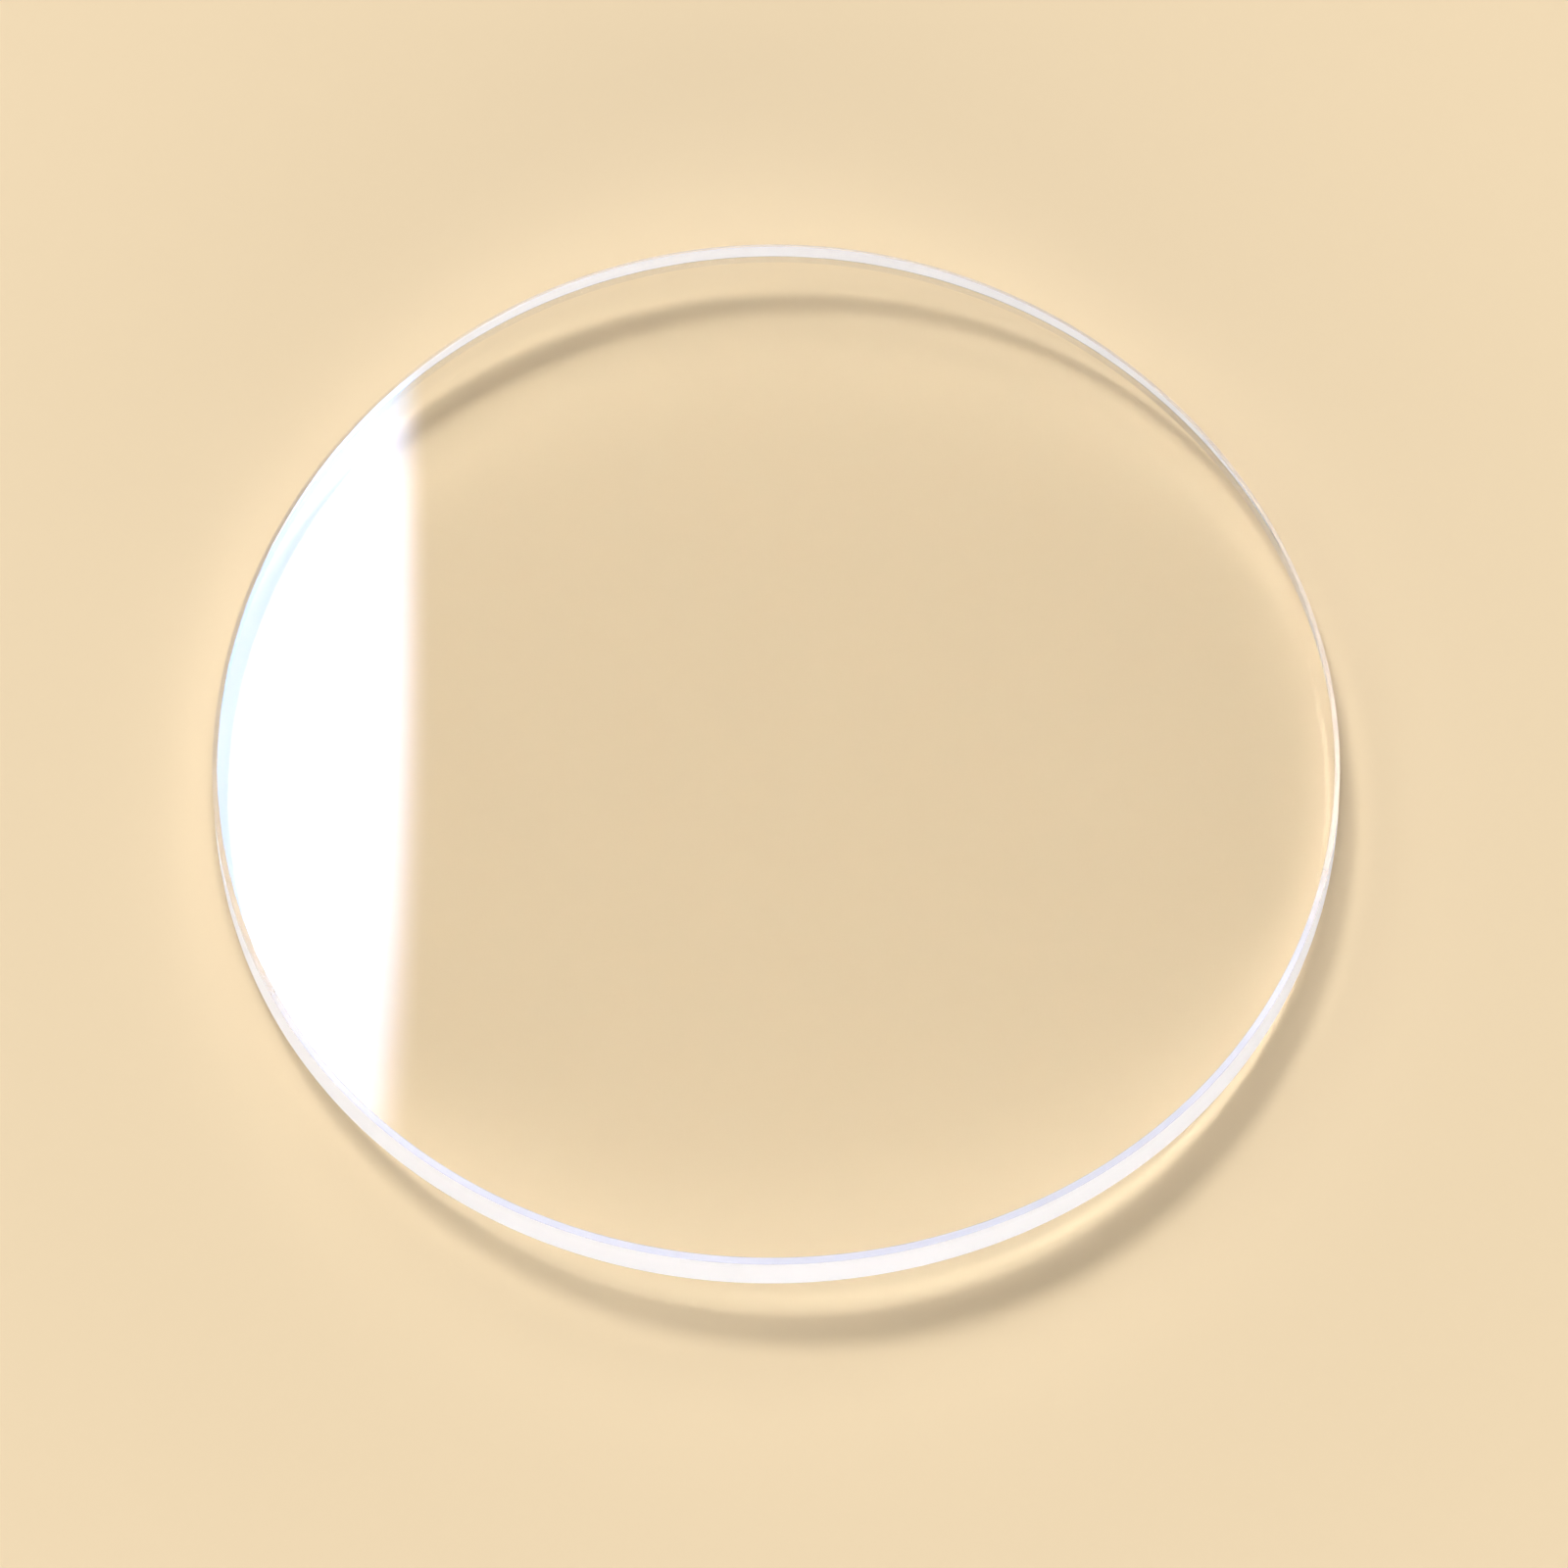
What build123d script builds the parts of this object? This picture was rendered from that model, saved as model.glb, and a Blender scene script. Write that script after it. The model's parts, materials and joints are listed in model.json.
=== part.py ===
from build123d import *
import os
from math import sqrt

# Watch crystal: one round plate of clear glass, bent across its width to the arch of a curved case.
# Origin: on the surface that it lies on, under the middle of the plate. +Z is up, out of the watch.
# The arch runs straight along Y, and its two low edges are at -X and +X.
# All lengths are in millimetres.

# Driving sizes
crystal_diameter = 30.0      # over the round edge wall, which stands square to the case
crystal_thickness = 1.5      # through the glass, square to its faces
arch_radius = 115.0          # of the upper face, from its axis to the glass
bevel_width = 0.13           # of the polished 45 degree bevel round the upper and the lower edge
cut_overrun = 2.0            # how far a cutting shape runs past the glass

# Worked out from them
crystal_radius = crystal_diameter / 2
underside_radius = arch_radius - crystal_thickness
foot_reach = crystal_radius - bevel_width
axis_height = -sqrt(underside_radius**2 - foot_reach**2)
crown_height = axis_height + arch_radius
sheet_reach = crystal_radius + cut_overrun


def arc_height(radius, reach):
    """Height of an arc about the arch's axis, at a distance to the side of its crown."""
    return axis_height + sqrt(radius**2 - reach**2)


def arched_sheet():
    """The sheet that the crystal is cut from: two arcs about one axis, so it is as thick everywhere."""
    top_left = (-sheet_reach, arc_height(arch_radius, sheet_reach))
    top_crown = (0, crown_height)
    top_right = (sheet_reach, arc_height(arch_radius, sheet_reach))
    low_left = (-sheet_reach, arc_height(underside_radius, sheet_reach))
    low_crown = (0, crown_height - crystal_thickness)
    low_right = (sheet_reach, arc_height(underside_radius, sheet_reach))
    upper_arc = ThreePointArc(top_left, top_crown, top_right)
    right_end = Line(top_right, low_right)
    lower_arc = ThreePointArc(low_right, low_crown, low_left)
    left_end = Line(low_left, top_left)
    profile = Plane.XZ * make_face([upper_arc, right_end, lower_arc, left_end])
    return extrude(profile, amount=sheet_reach, both=True)


def round_blank():
    """The round outline, carried up through the whole sheet, with its wall square to the case."""
    lowest = arc_height(underside_radius, sheet_reach) - cut_overrun
    outline = Plane.XY.offset(lowest) * Circle(crystal_radius)
    return extrude(outline, amount=crown_height + cut_overrun - lowest)


def bevel_edges(plate):
    """Bevels the two edges where the faces meet the edge wall. Both rise and fall with the arch."""
    wall = plate.faces().filter_by(GeomType.CYLINDER).sort_by(lambda face: abs(face.radius - crystal_radius))[0]
    rims = [edge for edge in wall.edges() if edge.geom_type != GeomType.LINE]
    return chamfer(rims, length=bevel_width)


def crystal():
    """The finished glass: the round blank cut out of the arched sheet, with both edges bevelled."""
    return bevel_edges(arched_sheet() & round_blank())


os.makedirs("parts", exist_ok=True)
export_step(crystal(), "parts/crystal.step")
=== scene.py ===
import json
import math

import bpy
import numpy as np
from mathutils import Matrix, Vector


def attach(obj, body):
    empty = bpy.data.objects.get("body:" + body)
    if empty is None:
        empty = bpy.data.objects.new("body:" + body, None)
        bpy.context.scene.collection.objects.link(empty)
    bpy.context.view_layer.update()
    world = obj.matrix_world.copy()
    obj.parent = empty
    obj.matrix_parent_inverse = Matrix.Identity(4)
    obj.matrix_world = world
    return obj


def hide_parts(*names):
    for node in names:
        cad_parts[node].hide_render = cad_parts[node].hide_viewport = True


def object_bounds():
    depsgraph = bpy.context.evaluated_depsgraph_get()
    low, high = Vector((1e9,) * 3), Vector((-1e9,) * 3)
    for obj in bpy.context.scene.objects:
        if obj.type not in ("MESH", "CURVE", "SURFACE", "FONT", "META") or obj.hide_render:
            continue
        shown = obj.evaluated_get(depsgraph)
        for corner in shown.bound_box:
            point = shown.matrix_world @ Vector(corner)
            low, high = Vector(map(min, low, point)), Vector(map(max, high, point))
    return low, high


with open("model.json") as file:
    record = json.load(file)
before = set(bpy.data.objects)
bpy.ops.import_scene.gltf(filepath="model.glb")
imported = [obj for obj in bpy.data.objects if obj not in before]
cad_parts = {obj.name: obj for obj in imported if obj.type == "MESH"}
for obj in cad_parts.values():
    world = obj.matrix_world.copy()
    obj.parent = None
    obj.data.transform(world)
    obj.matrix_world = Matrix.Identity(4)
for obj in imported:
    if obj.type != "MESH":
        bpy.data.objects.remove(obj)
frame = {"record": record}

bl_info = {
    "name": "Watch crystal",
    "version": (1, 0, 0),
    "blender": (4, 5, 0),
    "location": "3D View > Sidebar > Crystal",
    "description": "Builds a loose, arched watch crystal and the pale studio table that it lies on",
    "category": "Object",
}

MM = 0.001                      # one millimetre in Blender's metres
NODE = "crystal"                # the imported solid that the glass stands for
BODY = "root"                   # the body that it rides on, because the part has no joints
PHOTO_SIDE = 1600               # pixels along each side of the photograph
SENSOR = 36.0                   # sensor width of the camera, in millimetres
CAD_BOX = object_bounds()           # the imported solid's box, straight after loading
EDGE_WALL = next(m for m in frame["record"]["mounts"] if m["name"] == "edge_wall")


# Settings that a user can change

class CrystalSizes(bpy.types.PropertyGroup):
    """Real sizes of the glass."""
    diameter: bpy.props.FloatProperty(
        name="Diameter", description="Over the upright edge wall", subtype="DISTANCE", unit="LENGTH",
        precision=5, default=2 * EDGE_WALL["dims"]["r_mm"] * MM)
    thickness: bpy.props.FloatProperty(
        name="Thickness", description="Through the glass, square to its faces", subtype="DISTANCE",
        unit="LENGTH", precision=5, default=1.5 * MM)
    arch_radius: bpy.props.FloatProperty(
        name="Arch radius", description="Of the upper face, from the arch's axis", subtype="DISTANCE",
        unit="LENGTH", precision=5, default=115 * MM)
    bevel: bpy.props.FloatProperty(
        name="Bevel", description="Width of the bevel round each rim", subtype="DISTANCE", unit="LENGTH",
        precision=5, default=0.13 * MM)
    corner: bpy.props.FloatProperty(
        name="Corner", description="Radius that polishing leaves on the corners of a bevel",
        subtype="DISTANCE", unit="LENGTH", precision=6, default=0.02 * MM)


class GlassFinish(bpy.types.PropertyGroup):
    """How the glass looks."""
    index: bpy.props.FloatProperty(
        name="Index", description="Refractive index of the glass", default=1.52)
    coating: bpy.props.FloatProperty(
        name="Coating", description="Thickness of the coating that weakens reflections, in nanometres",
        default=137.0)
    coating_index: bpy.props.FloatProperty(
        name="Coating index", description="Refractive index of the coating", default=1.36)
    edge_tint: bpy.props.FloatVectorProperty(
        name="Edge tint", description="Colour of the ground edge", subtype="COLOR", size=3, min=0, max=1,
        default=(0.93, 0.94, 1.0))
    edge_clearness: bpy.props.FloatProperty(
        name="Edge clearness", description="How much light the ground edge lets through", subtype="FACTOR",
        default=0.45)
    edge_roughness: bpy.props.FloatProperty(
        name="Edge roughness", description="Of the ground edge wall", subtype="FACTOR", default=0.5)
    # The satin bevel's lavender is a painted reflection: a colour that stands in for the coating's lavender
    # reflection of the light from the front.
    bevel_painted_reflection_tint: bpy.props.FloatVectorProperty(
        name="Bevel tint", description="Colour of the satin bevel", subtype="COLOR", size=3, min=0, max=1,
        default=(0.60, 0.66, 0.90))
    bevel_clearness: bpy.props.FloatProperty(
        name="Bevel clearness", description="How much light the satin bevel lets through", subtype="FACTOR",
        default=0.4)
    bevel_roughness: bpy.props.FloatProperty(
        name="Bevel roughness", description="Of both bevels", subtype="FACTOR", default=0.25)


class StudioSetup(bpy.types.PropertyGroup):
    """The table, and the light from all round."""
    floor_colour: bpy.props.FloatVectorProperty(
        name="Floor", description="Colour of the table", subtype="COLOR", size=3, min=0, max=1,
        default=(0.82, 0.655, 0.43))
    fill: bpy.props.FloatProperty(
        name="Fill", description="Strength of the even light from all round", default=0.1)
    horizon: bpy.props.FloatProperty(
        name="Horizon", description="Extra strength of the light that comes in low from all sides",
        default=8.5)


# For each lamp: name, degrees to the right of +Y, degrees above the table, half the angles that it fills
# across and up, brightness beside a white sheet on the table, and the share of its radius that fades out.
LAMPS = (
    ("softbox", -23.0, 56.7, 7.5, 7.5, 29.0, 0.17),
    ("left_panel", -66.0, 38.0, 14.0, 14.0, 4.4, 0.3),
    ("right_panel", 18.0, 40.0, 12.0, 12.0, 4.4, 0.3),
    ("overhead_panel", 160.0, 80.0, 25.0, 25.0, 1.05, 0.2),
    ("front_strip", 180.0, 12.0, 45.0, 9.0, 4.0, 0.3),
)
LAMP_DISTANCE = 4.0             # metres from the crystal to each lamp


# Shapes

BEVEL_SLOPE = 45                # degrees between a bevel and the face or the wall beside it
SQUARE_ON = 0.9999              # a part of a unit normal above this counts as the whole of it


def arch_height(reach, radius, axis_height):
    """Height of an arc about the arch's axis: that axis's height, plus the root of radius squared less reach
    squared."""
    return axis_height + np.sqrt(radius**2 - reach**2)


def arch_slope(reach, radius):
    """Slope of that arc: minus the reach, over the root of radius squared less reach squared."""
    return -reach / np.sqrt(radius**2 - reach**2)


def rim_profile(sizes, face_rings=16, corner_steps=4, wall_steps=4):
    """The section of one half of the plate, from its upper centre round the rim to its lower centre.
    Gives, for each point, its distance from the middle, its height over the face that it follows, the share
    of the lower face in what it follows, and the two parts of its normal, outward and up.
    A face is straight, a bevel falls as far as it runs in, and each corner between them is an arc that turns
    45 degrees. The lower half is the upper one mirrored."""
    radius, bevel = sizes.diameter / 2, sizes.bevel
    tangent = sizes.corner * math.tan(math.radians(BEVEL_SLOPE / 2))
    turn = np.radians(np.linspace(0, BEVEL_SLOPE, corner_steps + 1))
    # Each corner starts one tangent length before the sharp one, on the line that comes in.
    centre_in = (radius - bevel - tangent, -sizes.corner)
    face_corner = np.stack([centre_in[0] + sizes.corner * np.sin(turn),
                            centre_in[1] + sizes.corner * np.cos(turn)])
    centre_out = (radius - sizes.corner, -bevel - tangent)
    wall_turn = turn + math.radians(BEVEL_SLOPE)
    wall_corner = np.stack([centre_out[0] + sizes.corner * np.sin(wall_turn),
                            centre_out[1] + sizes.corner * np.cos(wall_turn)])
    face = np.stack([np.linspace(0, face_corner[0, 0], face_rings + 1)[:-1], np.zeros(face_rings)])
    reach, height = np.concatenate([face, face_corner, wall_corner], axis=1)
    angle = np.concatenate([np.zeros(face_rings), turn, wall_turn])
    share = np.zeros(len(reach))
    along = np.linspace(0, 1, wall_steps + 1)[1:-1]
    wall_height = height[-1] * (1 - 2 * along)
    return (np.concatenate([reach, np.full(len(along), radius), reach[::-1]]),
            np.concatenate([height, wall_height, -height[::-1]]),
            np.concatenate([share, along, 1 - share[::-1]]),
            np.concatenate([np.sin(angle), np.ones(len(along)), np.sin(angle)[::-1]]),
            np.concatenate([np.cos(angle), np.zeros(len(along)), -np.cos(angle)[::-1]]))


def crystal_surface(sizes, steps=720):
    """Points, normals, faces and finish numbers of the closed plate.
    A point lies at the profile's distance from the middle, turned about Z. Its height is that of the arched
    face at its own X, plus the profile's. The normal is the profile's, leaned by the slope of the arch."""
    under = sizes.arch_radius - sizes.thickness
    axis_height = -math.sqrt(under**2 - (sizes.diameter / 2 - sizes.bevel)**2)
    reach, rise, share, out, up = (a[:, None] for a in rim_profile(sizes))
    turn = np.linspace(0, 2 * math.pi, steps, endpoint=False)[None, :]
    x, y = reach * np.cos(turn), reach * np.sin(turn)
    upper, lower = arch_height(x, sizes.arch_radius, axis_height), arch_height(x, under, axis_height)
    z = (1 - share) * upper + share * lower + rise
    slope = (1 - share) * arch_slope(x, sizes.arch_radius) + share * arch_slope(x, under)
    leaned = (out * np.cos(turn) - slope * up, out * np.sin(turn), up)
    normal = np.stack(np.broadcast_arrays(*leaned), axis=-1)
    normal /= np.linalg.norm(normal, axis=-1, keepdims=True)
    points = np.stack([x, y, z], axis=-1)
    # The first and the last ring are the poles, so one point stands for each.
    count = len(reach)
    points = np.concatenate([points[:1, 0], points[1:-1].reshape(-1, 3), points[-1:, 0]])
    normal = np.concatenate([normal[:1, 0], normal[1:-1].reshape(-1, 3), normal[-1:, 0]])
    ring = 1 + np.arange(count - 2)[:, None] * steps + np.arange(steps)[None, :]
    after = np.roll(ring, -1, axis=1)
    quads = np.stack([ring[:-1], ring[1:], after[1:], after[:-1]], axis=-1).reshape(-1, 4)
    last = len(points) - 1
    top = np.stack([np.zeros(steps, int), ring[0], after[0]], axis=-1)
    base = np.stack([np.full(steps, last), after[-1], ring[-1]], axis=-1)
    # Finish of each band of quads: 0 the faces, 1 the upper bevel with its corners, 2 the wall, and 3 the
    # lower bevel with its corners.
    flat = np.abs(up[1:-1, 0]) > SQUARE_ON
    upright = out[1:-1, 0] > SQUARE_ON
    bevel = np.where(share[1:-2, 0] < 0.5, 1, 3)
    band = np.where(flat[:-1] & flat[1:], 0, np.where(upright[:-1] & upright[1:], 2, bevel))
    return points, normal, quads, top, base, np.repeat(band, steps)


def mesh_object(name, points, normal, quads, top, base, band, materials):
    """Makes a mesh object of the arrays, with one material to each finish number and exact normals."""
    mesh = bpy.data.meshes.new(name)
    corners = np.concatenate([top.ravel(), quads.ravel(), base.ravel()]).astype(np.int32)
    sizes = np.concatenate([np.full(len(top), 3), np.full(len(quads), 4), np.full(len(base), 3)])
    starts = np.concatenate([[0], np.cumsum(sizes)[:-1]]).astype(np.int32)
    mesh.vertices.add(len(points))
    mesh.vertices.foreach_set("co", points.ravel())
    mesh.loops.add(len(corners))
    mesh.loops.foreach_set("vertex_index", corners)
    mesh.polygons.add(len(sizes))
    mesh.polygons.foreach_set("loop_start", starts)
    finish = np.concatenate([np.zeros(len(top)), band, np.zeros(len(base))]).astype(np.int32)
    mesh.polygons.foreach_set("material_index", finish)
    mesh.polygons.foreach_set("use_smooth", np.ones(len(sizes), bool))
    mesh.update(calc_edges=True)
    mesh.validate()
    mesh.normals_split_custom_set_from_vertices(normal.tolist())
    for material in materials:
        mesh.materials.append(material)
    made = bpy.data.objects.new(name, mesh)
    bpy.context.collection.objects.link(made)
    return made


# Shader maths

class Sock:
    """An output of a shader tree. Arithmetic on it adds Math nodes."""

    def __init__(self, tree, out):
        self.tree, self.out = tree, out

    def maths(self, operation, first, second):
        return self.tree.node("ShaderNodeMath", {"operation": operation}, {0: first, 1: second})

    def __add__(self, other):
        return self.maths("ADD", self, other)

    __radd__ = __add__

    def __mul__(self, other):
        return self.maths("MULTIPLY", self, other)

    __rmul__ = __mul__

    def __sub__(self, other):
        return self.maths("SUBTRACT", self, other)

    def __rsub__(self, other):
        return self.maths("SUBTRACT", other, self)

    def between(self, low, high):
        """0 below low, 1 above high, and a smooth step from one to the other."""
        return self.tree.node("ShaderNodeMapRange", {"interpolation_type": "SMOOTHSTEP"},
                              {"Value": self, "From Min": low, "From Max": high})


class Tree:
    """A node tree that is written as expressions."""

    def __init__(self, owner):
        owner.use_nodes = True
        self.tree = owner.node_tree
        self.tree.nodes.clear()

    def node(self, kind, settings, values, output=0):
        """Adds a node: its settings first, then the value or the link of each socket named."""
        made = self.tree.nodes.new(kind)
        for name, value in settings.items():
            setattr(made, name, value)
        for name, value in values.items():
            socket = made.inputs[name]
            if isinstance(value, Sock):
                self.tree.links.new(value.out, socket)
            else:
                socket.default_value = value
        return Sock(self, made.outputs[output]) if made.outputs else None


# Finishes

def finish_off(name, shader_of):
    """A material whose surface is the shader that shader_of makes in its tree."""
    material = bpy.data.materials.new(name)
    tree = Tree(material)
    tree.node("ShaderNodeOutputMaterial", {}, {"Surface": shader_of(tree)})
    return material


def coated(tree, finish, values):
    """Clear glass under a film thinner than light's wave, which turns its reflections faintly lavender.
    Values hold its roughness and whatever else it needs."""
    return tree.node("ShaderNodeBsdfPrincipled", {}, {
        "Base Color": (1.0, 1.0, 1.0, 1.0), "IOR": finish.index, "Transmission Weight": 1.0,
        "Thin Film Thickness": finish.coating, "Thin Film IOR": finish.coating_index, **values})


def polished_glass(name, finish):
    """The two faces: clear glass with no roughness at all."""
    return finish_off(name, lambda tree: coated(tree, finish, {"Roughness": 0.0}))


GRIT = 0.05 * MM                        # size of the finest marks that grinding leaves
GRIT_DEPTH = GRIT / 5
BEVEL_GRIT = 0.15                       # strength of those marks on the bevels
EDGE_GRIT = 0.3                         # and on the edge wall
PATCH = 2.5 * MM                        # size of the places where the wheel has cut a little deeper
BEVEL_UNEVENNESS = 0.2                  # share by which a bevel's roughness varies between such places
EDGE_UNEVENNESS = 0.1                   # share by which the edge's clearness does
NOISE_DETAIL = 2.0                      # finer grains added to the noise
# Painted reflection: the lavender satin is full on the side of 6 o'clock, where it stands in for the bevel's
# reflection of the light from the front, and least on the left.
PAINTED_REFLECTION_ANGLE = math.radians(270)         # way to the middle of the upper bevel's satin stretch, from +X
PAINTED_REFLECTION_REACH = (3 * MM, 8 * MM)          # how far out that way the satin starts, and where it is full
CLEAR_ANGLE = math.radians(157)         # way to the middle of its clear stretch
CLEAR_REACH = (9 * MM, 12.5 * MM)
LEAST_SATIN_PAINTED_REFLECTION = 0.12                      # share of satin left there, and on the lower bevel
FAINT_SATIN_PAINTED_REFLECTION = 0.35                      # share of satin on the rest of that bevel


def noise(tree, size):
    """Noise from 0 to 1 whose grains are about as large as size."""
    place = tree.node("ShaderNodeTexCoord", {}, {}, "Object")
    values = {"Vector": place, "Scale": 1 / size, "Detail": NOISE_DETAIL}
    return tree.node("ShaderNodeTexNoise", {}, values, "Fac")


def uneven(tree, share):
    """A factor that varies in patches, from 1 less the share to 1 plus the share."""
    return 1 - share + 2 * share * noise(tree, PATCH)


def way_out(tree, angle):
    """How far a point lies from the middle in the direction of an angle from +X."""
    place = tree.node("ShaderNodeTexCoord", {}, {}, "Object")
    way = (math.cos(angle), math.sin(angle), 0.0)
    return tree.node("ShaderNodeVectorMath", {"operation": "DOT_PRODUCT"}, {0: place, 1: way}, "Value")


def grit_bumps(tree, strength):
    """The normal of a ground surface: fine grains, a fifth as deep as they are wide."""
    return tree.node("ShaderNodeBump", {}, {
        "Height": noise(tree, GRIT), "Strength": strength, "Distance": GRIT_DEPTH})


def upper_bevel_painted_reflection(tree):
    """Share of satin on the upper bevel, whose lavender is a painted reflection: hardly any on the left, all
    of it on the side of 6 o'clock, where it stands in for the reflection of the light from the front, and a
    faint share elsewhere."""
    front_painted_reflection = way_out(tree, PAINTED_REFLECTION_ANGLE).between(*PAINTED_REFLECTION_REACH)
    left = way_out(tree, CLEAR_ANGLE).between(*CLEAR_REACH)
    return FAINT_SATIN_PAINTED_REFLECTION + (1 - FAINT_SATIN_PAINTED_REFLECTION) * front_painted_reflection - (FAINT_SATIN_PAINTED_REFLECTION - LEAST_SATIN_PAINTED_REFLECTION) * left


def bevel_glass(name, finish, satin_painted_reflection_share):
    """A bevel: clear glass mixed with satin glass whose lavender colour is a painted reflection, by the
    share that satin_painted_reflection_share gives. It is smoother in some places."""
    def shader(tree):
        roughness = finish.bevel_roughness * uneven(tree, BEVEL_UNEVENNESS)
        bumps = grit_bumps(tree, BEVEL_GRIT)
        clear = coated(tree, finish, {"Roughness": roughness, "Normal": bumps})
        lavender_satin_with_painted_reflection = tree.node("ShaderNodeBsdfPrincipled", {}, {
            "Base Color": (*finish.bevel_painted_reflection_tint, 1.0), "Roughness": roughness, "IOR": finish.index,
            "Transmission Weight": finish.bevel_clearness, "Normal": bumps})
        return tree.node("ShaderNodeMixShader", {}, {0: satin_painted_reflection_share(tree), 1: clear, 2: lavender_satin_with_painted_reflection})
    return finish_off(name, shader)


def ground_glass(name, finish):
    """The ground edge: matt white glass mixed with light that comes through it, more in some places."""
    def shader(tree):
        colour = (*finish.edge_tint, 1.0)
        matt = tree.node("ShaderNodeBsdfPrincipled", {}, {
            "Base Color": colour, "Roughness": finish.edge_roughness, "IOR": finish.index,
            "Normal": grit_bumps(tree, EDGE_GRIT)})
        through = tree.node("ShaderNodeBsdfTranslucent", {}, {"Color": colour})
        share = finish.edge_clearness * uneven(tree, EDGE_UNEVENNESS)
        return tree.node("ShaderNodeMixShader", {}, {0: share, 1: matt, 2: through})
    return finish_off(name, shader)


TABLE_ROUGHNESS = 0.8
TABLE_SHINE = 0.2                       # how strongly it reflects, where 0.5 is usual


def table_top(name, setup):
    """Matt, pale table top of one plain colour."""
    return finish_off(name, lambda tree: tree.node("ShaderNodeBsdfPrincipled", {}, {
        "Base Color": (*setup.floor_colour, 1.0), "Roughness": TABLE_ROUGHNESS,
        "Specular IOR Level": TABLE_SHINE}))


# Camera, in the frame of the part

CAMERA_DISTANCE = 450 * MM
CAMERA_CLIP = (0.01, 20.0)              # nearest and farthest metres that it sees
CAMERA_ELEVATION = math.radians(64.66)
CAMERA_AZIMUTH = math.radians(5.49)     # turned right from looking along +Y
CAMERA_ROLL = math.radians(0.627)
CAMERA_AIM = (0.2049 * MM, 0.0203 * MM)    # from the origin to the picture's centre, right and up
FOCAL_PIXELS = 17208.3                  # focal length in pixels of the photograph


def place_camera():
    """Back is the way from the crystal to the camera, at its azimuth and elevation. Right is level, and up
    is square to both. Both turn by the roll about back, and the camera stands one distance along back."""
    back = Vector((-math.sin(CAMERA_AZIMUTH) * math.cos(CAMERA_ELEVATION),
                   -math.cos(CAMERA_AZIMUTH) * math.cos(CAMERA_ELEVATION), math.sin(CAMERA_ELEVATION)))
    right = Vector((math.cos(CAMERA_AZIMUTH), -math.sin(CAMERA_AZIMUTH), 0))
    up = back.cross(right)
    turned_right = right * math.cos(CAMERA_ROLL) - up * math.sin(CAMERA_ROLL)
    turned_up = back.cross(turned_right)
    camera = bpy.data.cameras.new("camera")
    camera.sensor_width = SENSOR
    camera.lens = FOCAL_PIXELS * SENSOR / PHOTO_SIDE
    camera.clip_start, camera.clip_end = CAMERA_CLIP
    made = bpy.data.objects.new("camera", camera)
    bpy.context.collection.objects.link(made)
    made.matrix_world = Matrix((turned_right, turned_up, back)).transposed().to_4x4()
    made.location = back * CAMERA_DISTANCE + right * CAMERA_AIM[0] + up * CAMERA_AIM[1]
    bpy.context.scene.camera = made


def place_lamp(name, azimuth, elevation, half_across, half_up, brightness, fade):
    """A round or oval lamp that faces the crystal. Its power is pi times its area times its brightness."""
    azimuth, elevation = math.radians(azimuth), math.radians(elevation)
    way = Vector((math.sin(azimuth) * math.cos(elevation), math.cos(azimuth) * math.cos(elevation),
                  math.sin(elevation)))
    across = LAMP_DISTANCE * math.tan(math.radians(half_across))
    up = LAMP_DISTANCE * math.tan(math.radians(half_up))
    light = bpy.data.lights.new(name, "AREA")
    light.shape = "ELLIPSE"
    light.size, light.size_y = 2 * across, 2 * up
    light.energy = math.pi * (math.pi * across * up) * brightness
    tree = Tree(light)
    # Parametric runs from 0 to 1 across the lamp, so this is 0 in its middle and 1 at its edge.
    spot = tree.node("ShaderNodeNewGeometry", {}, {}, "Parametric")
    from_middle = tree.node("ShaderNodeVectorMath", {"operation": "DISTANCE"},
                            {0: spot, 1: (0.5, 0.5, 0.0)}, "Value") * 2
    strength = 1 - from_middle.between(1 - fade, 1.0)
    glow = tree.node("ShaderNodeEmission", {}, {"Strength": strength})
    tree.node("ShaderNodeOutputLight", {}, {"Surface": glow})
    made = bpy.data.objects.new(name, light)
    made.rotation_mode = "QUATERNION"
    made.rotation_quaternion = way.to_track_quat("Z", "Y")
    made.location = way * LAMP_DISTANCE
    bpy.context.collection.objects.link(made)


HORIZON_BAND = (0.05, 0.25)     # sines of the heights between which the low light fades out


def make_world(setup):
    """White to the camera. As light, an even fill plus a low band all round, which reaches the upright
    edge."""
    world = bpy.data.worlds.new("studio")
    bpy.context.scene.world = world
    tree = Tree(world)
    way = tree.node("ShaderNodeTexCoord", {}, {}, "Generated")
    height = tree.node("ShaderNodeSeparateXYZ", {}, {"Vector": way}, "Z")
    light = setup.fill + setup.horizon * (1 - height.between(*HORIZON_BAND))
    seen = tree.node("ShaderNodeLightPath", {}, {}, "Is Camera Ray")
    strength = light + (1 - light) * seen
    shader = tree.node("ShaderNodeBackground", {}, {"Color": (1, 1, 1, 1), "Strength": strength})
    tree.node("ShaderNodeOutputWorld", {}, {"Surface": shader})


class CRYSTAL_OT_glass(bpy.types.Operator):
    """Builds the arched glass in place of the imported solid"""
    bl_idname = "crystal.build_glass"
    bl_label = "Build the glass"

    def execute(self, context):
        sizes, finish = context.scene.crystal_sizes, context.scene.crystal_finish
        materials = [
            polished_glass("coated_face", finish),
            bevel_glass("satin_bevel_painted_reflection", finish, upper_bevel_painted_reflection),
            ground_glass("ground_edge", finish),
            bevel_glass("lower_bevel", finish, lambda tree: LEAST_SATIN_PAINTED_REFLECTION),
        ]
        glass = mesh_object("watch_glass", *crystal_surface(sizes), materials)
        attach(glass, BODY)
        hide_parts(NODE)
        return {"FINISHED"}


TABLE_HALF_SIDE = 2.0           # metres
TABLE_GAP = 0.002 * MM          # under the glass, so that the two surfaces don't meet


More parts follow.
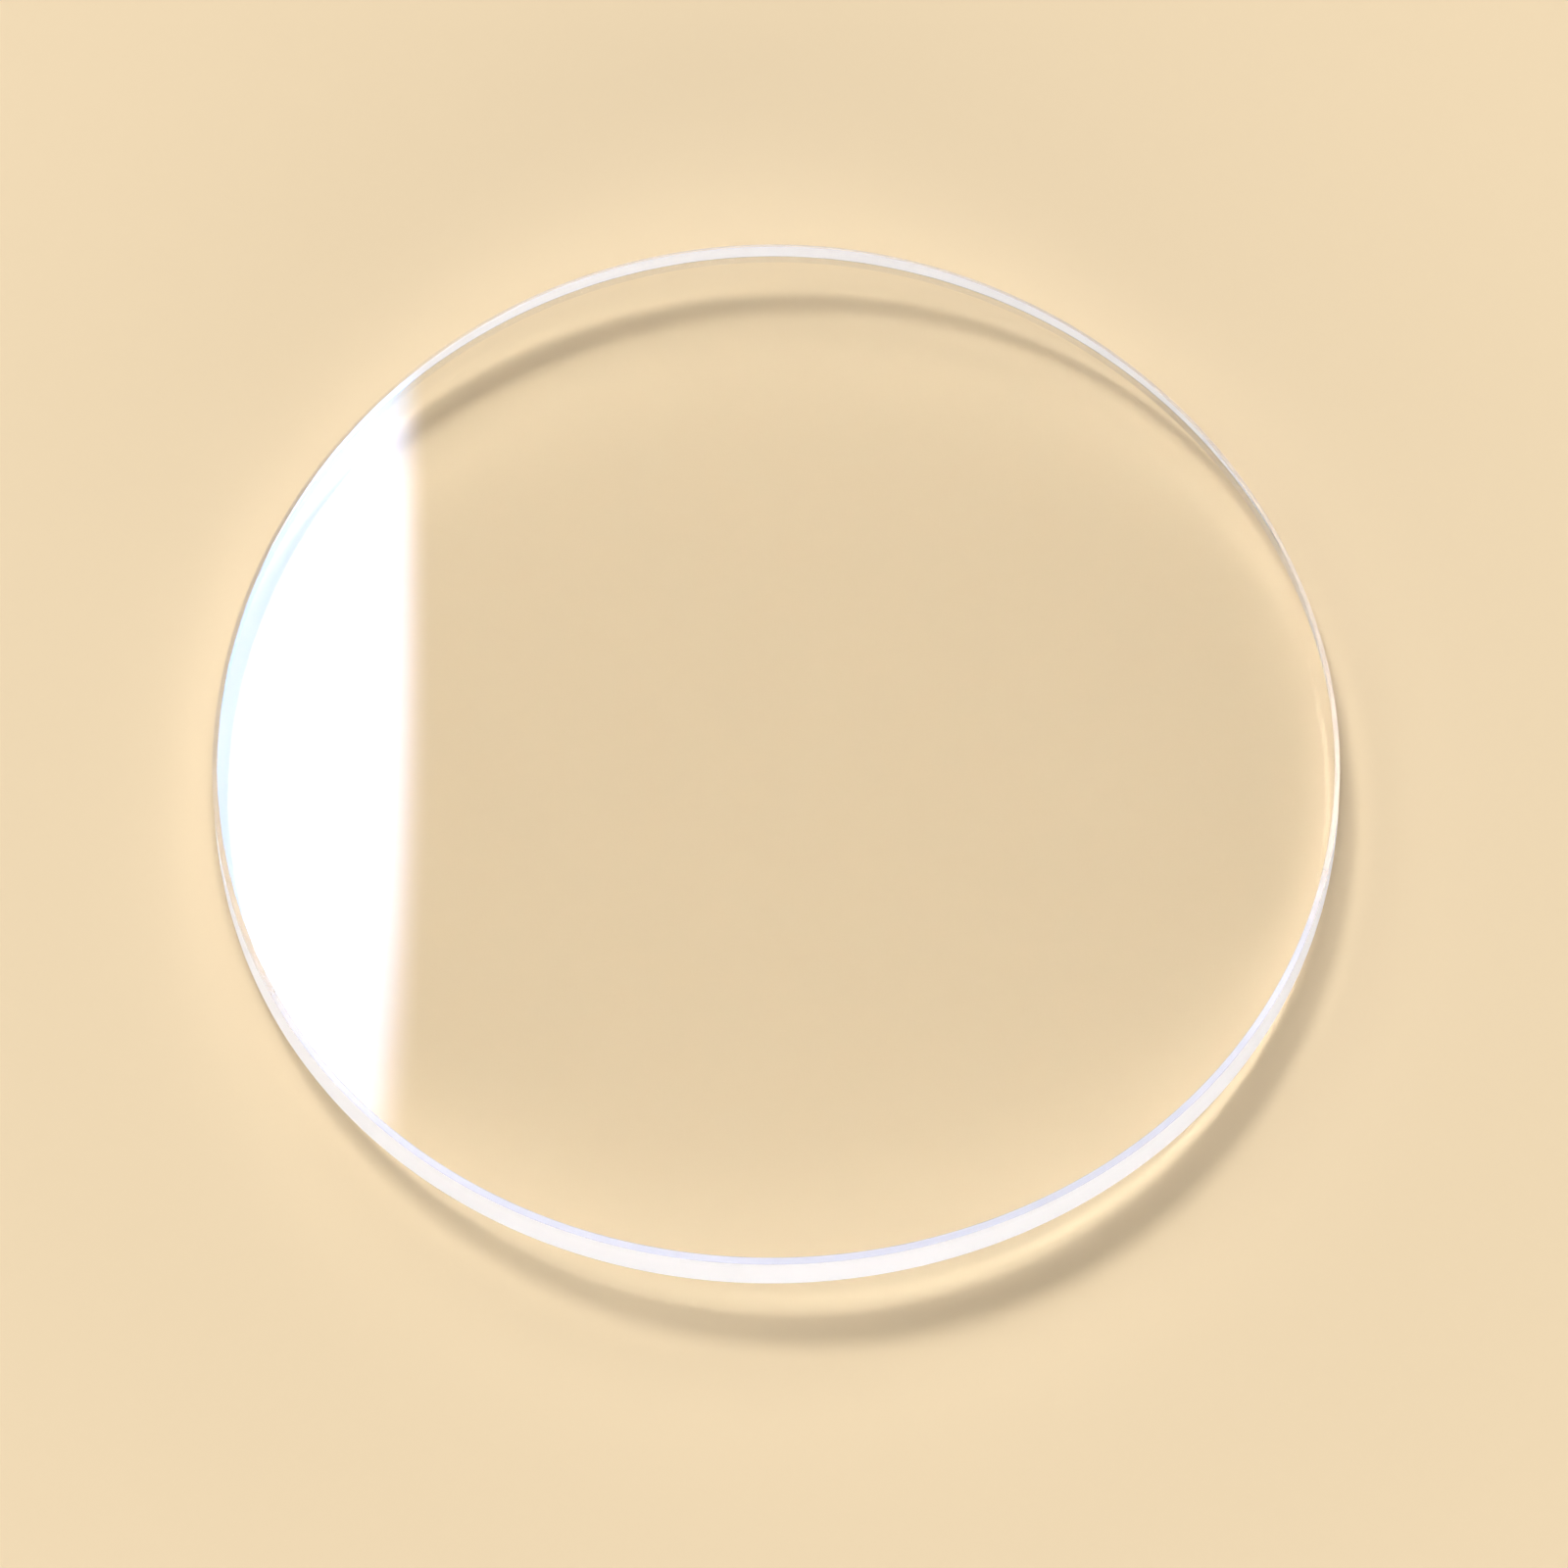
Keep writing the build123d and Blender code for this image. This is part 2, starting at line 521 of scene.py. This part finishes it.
class CRYSTAL_OT_stage(bpy.types.Operator):
    """Sets up the table, the lamps, the even light and the camera"""
    bl_idname = "crystal.build_stage"
    bl_label = "Build the stage"

    def execute(self, context):
        setup = context.scene.crystal_setup
        mesh = bpy.data.meshes.new("table")
        side = TABLE_HALF_SIDE
        corners = [(-side, -side, 0), (side, -side, 0), (side, side, 0), (-side, side, 0)]
        mesh.from_pydata(corners, [], [(0, 1, 2, 3)])
        mesh.materials.append(table_top("pale_table", setup))
        table = bpy.data.objects.new("table", mesh)
        context.collection.objects.link(table)
        table.location.z = CAD_BOX[0].z - TABLE_GAP
        for lamp in LAMPS:
            place_lamp(*lamp)
        make_world(setup)
        place_camera()
        context.scene.view_settings.view_transform = "Standard"
        context.scene.cycles.sample_clamp_indirect = 0
        context.scene.cycles.blur_glossy = 0
        return {"FINISHED"}


class CRYSTAL_PT_panel(bpy.types.Panel):
    """Lists the sizes and the steps"""
    bl_label = "Watch crystal"
    bl_space_type = "VIEW_3D"
    bl_region_type = "UI"
    bl_category = "Crystal"

    def draw(self, context):
        for group in ("crystal_sizes", "crystal_finish", "crystal_setup"):
            settings = getattr(context.scene, group)
            for name in settings.__annotations__:
                self.layout.prop(settings, name)
        self.layout.operator(CRYSTAL_OT_glass.bl_idname)
        self.layout.operator(CRYSTAL_OT_stage.bl_idname)


CLASSES = (CrystalSizes, GlassFinish, StudioSetup, CRYSTAL_OT_glass, CRYSTAL_OT_stage, CRYSTAL_PT_panel)


def register():
    for one in CLASSES:
        bpy.utils.register_class(one)
    bpy.types.Scene.crystal_sizes = bpy.props.PointerProperty(type=CrystalSizes)
    bpy.types.Scene.crystal_finish = bpy.props.PointerProperty(type=GlassFinish)
    bpy.types.Scene.crystal_setup = bpy.props.PointerProperty(type=StudioSetup)


def unregister():
    del bpy.types.Scene.crystal_setup
    del bpy.types.Scene.crystal_finish
    del bpy.types.Scene.crystal_sizes
    for one in reversed(CLASSES):
        bpy.utils.unregister_class(one)


def main():
    register()
    bpy.ops.crystal.build_glass()
    bpy.ops.crystal.build_stage()


if __name__ == "__main__":
    main()
